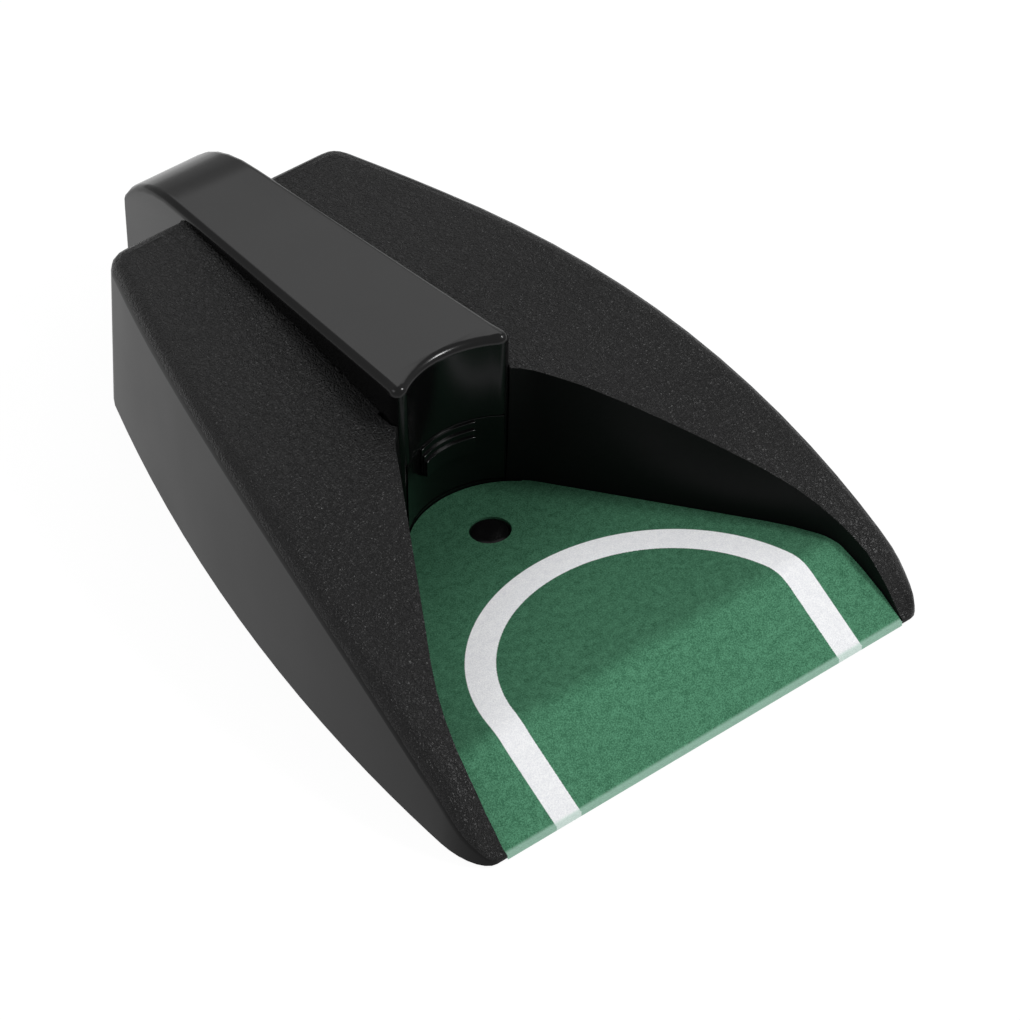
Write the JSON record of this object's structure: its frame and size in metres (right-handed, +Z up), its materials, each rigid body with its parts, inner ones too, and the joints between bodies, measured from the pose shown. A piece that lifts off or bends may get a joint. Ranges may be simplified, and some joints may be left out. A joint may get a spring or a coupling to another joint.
{
  "type": "automatic putting cup",
  "caption": "Black moulded putting cup with flared arms, a raised spine and a green felt ramp; a ball on the trigger makes the spring kicker send it back.",
  "frame": {"origin": "centre of the overall footprint, on the surface the rubber feet stand on", "axes": "+X to the right seen from the mouth, +Y from the mouth to the back of the spine, +Z up"},
  "size_m": [0.1924, 0.3, 0.0729],
  "materials": {
    "grained_case": "moulded leather grain, semi-matte",
    "satin_black": "smooth satin black",
    "plain_black": "plain moulded black",
    "felt_green": "short velour with a white line",
    "nylon": "natural nylon",
    "steel": "bright",
    "brass": "turned",
    "board": "solder-masked board",
    "cell": "shrink jacket",
    "rubber": "soft",
    "red_lead": "insulated lead",
    "black_lead": "insulated lead"
  },
  "bodies": {
    "case": {"wing_shell": "grained_case", "centre_cover": "satin_black", "base_plate": "plain_black", "ramp_plate": "plain_black", "felt": "felt_green", "kick_spring": "steel", "trigger_spring": "steel", "sensor_board": "board", "trigger_switch": "plain_black", "gearbox_frame": "plain_black", "gearbox_side_plate": "plain_black", "sector_axle": "steel", "middle_axle": "steel", "first_axle": "steel", "drive_motor": "steel", "front_contact_strip": "steel", "rear_contact_strip": "steel", "control_board": "board", "power_inlet": "plain_black", "frame_screw": "steel", "battery_lead": "red_lead", "motor_lead": "red_lead", "sensor_lead": "black_lead", "battery_cell_1": "cell", "case_screw_1": "steel", "rubber_foot_1": "rubber", "battery_cell_2": "cell", "case_screw_2": "steel", "rubber_foot_2": "rubber", "battery_cell_3": "cell", "case_screw_3": "steel", "rubber_foot_3": "rubber", "battery_cell_4": "cell", "case_screw_4": "steel", "rubber_foot_4": "rubber"},
    "kicker": {"kicker_plate": "satin_black", "plunger_rack": "nylon"},
    "drive_gear": {"sector_gear": "nylon", "final_gear": "nylon"},
    "middle_gear": {"middle_gear": "nylon"},
    "first_gear": {"first_gear": "nylon"},
    "motor_rotor": {"motor_pinion": "brass"},
    "trigger": {"trigger_button": "satin_black"},
    "battery_door": {"battery_door": "plain_black"}
  },
  "joints": [
    {"name": "kicker_slide", "type": "slide", "parent": "case", "child": "kicker", "axis": [0, 1, 0], "range_m": [0, 0.0118], "stiffness_N_per_m": 400, "springref_m": -0.004, "deforming": ["kick_spring"]},
    {"name": "sector_turn", "type": "hinge", "parent": "case", "child": "drive_gear", "pos_m": [0, 0.036, 0.04732], "axis": [1, 0, 0], "range_deg": [0, 68]},
    {"name": "middle_turn", "type": "hinge", "parent": "case", "child": "middle_gear", "pos_m": [0, 0.05452, 0.04732], "axis": [1, 0, 0], "range_deg": [-246, 0]},
    {"name": "first_turn", "type": "hinge", "parent": "case", "child": "first_gear", "pos_m": [0, 0.06967, 0.05283], "axis": [1, 0, 0], "range_deg": [0, 736]},
    {"name": "motor_turn", "type": "hinge", "parent": "case", "child": "motor_rotor", "pos_m": [0, 0.07994, 0.04257], "axis": [1, 0, 0], "range_deg": [-1912, 0]},
    {"name": "trigger_press", "type": "slide", "parent": "case", "child": "trigger", "axis": [0, 0, -1], "range_m": [0, 0.0012], "stiffness_N_per_m": 200, "springref_m": -0.001, "deforming": ["trigger_spring"]},
    {"name": "door_swing", "type": "hinge", "parent": "case", "child": "battery_door", "pos_m": [0, 0.0074, 0.0024], "axis": [-1, 0, 0], "range_deg": [0, 75]}
  ],
  "couplings": [
    {"joint": "sector_turn", "follows": "kicker_slide", "rad_per_m": 100},
    {"joint": "middle_turn", "follows": "kicker_slide", "rad_per_m": -360},
    {"joint": "first_turn", "follows": "kicker_slide", "rad_per_m": 1080},
    {"joint": "motor_turn", "follows": "kicker_slide", "rad_per_m": -2808}
  ]
}
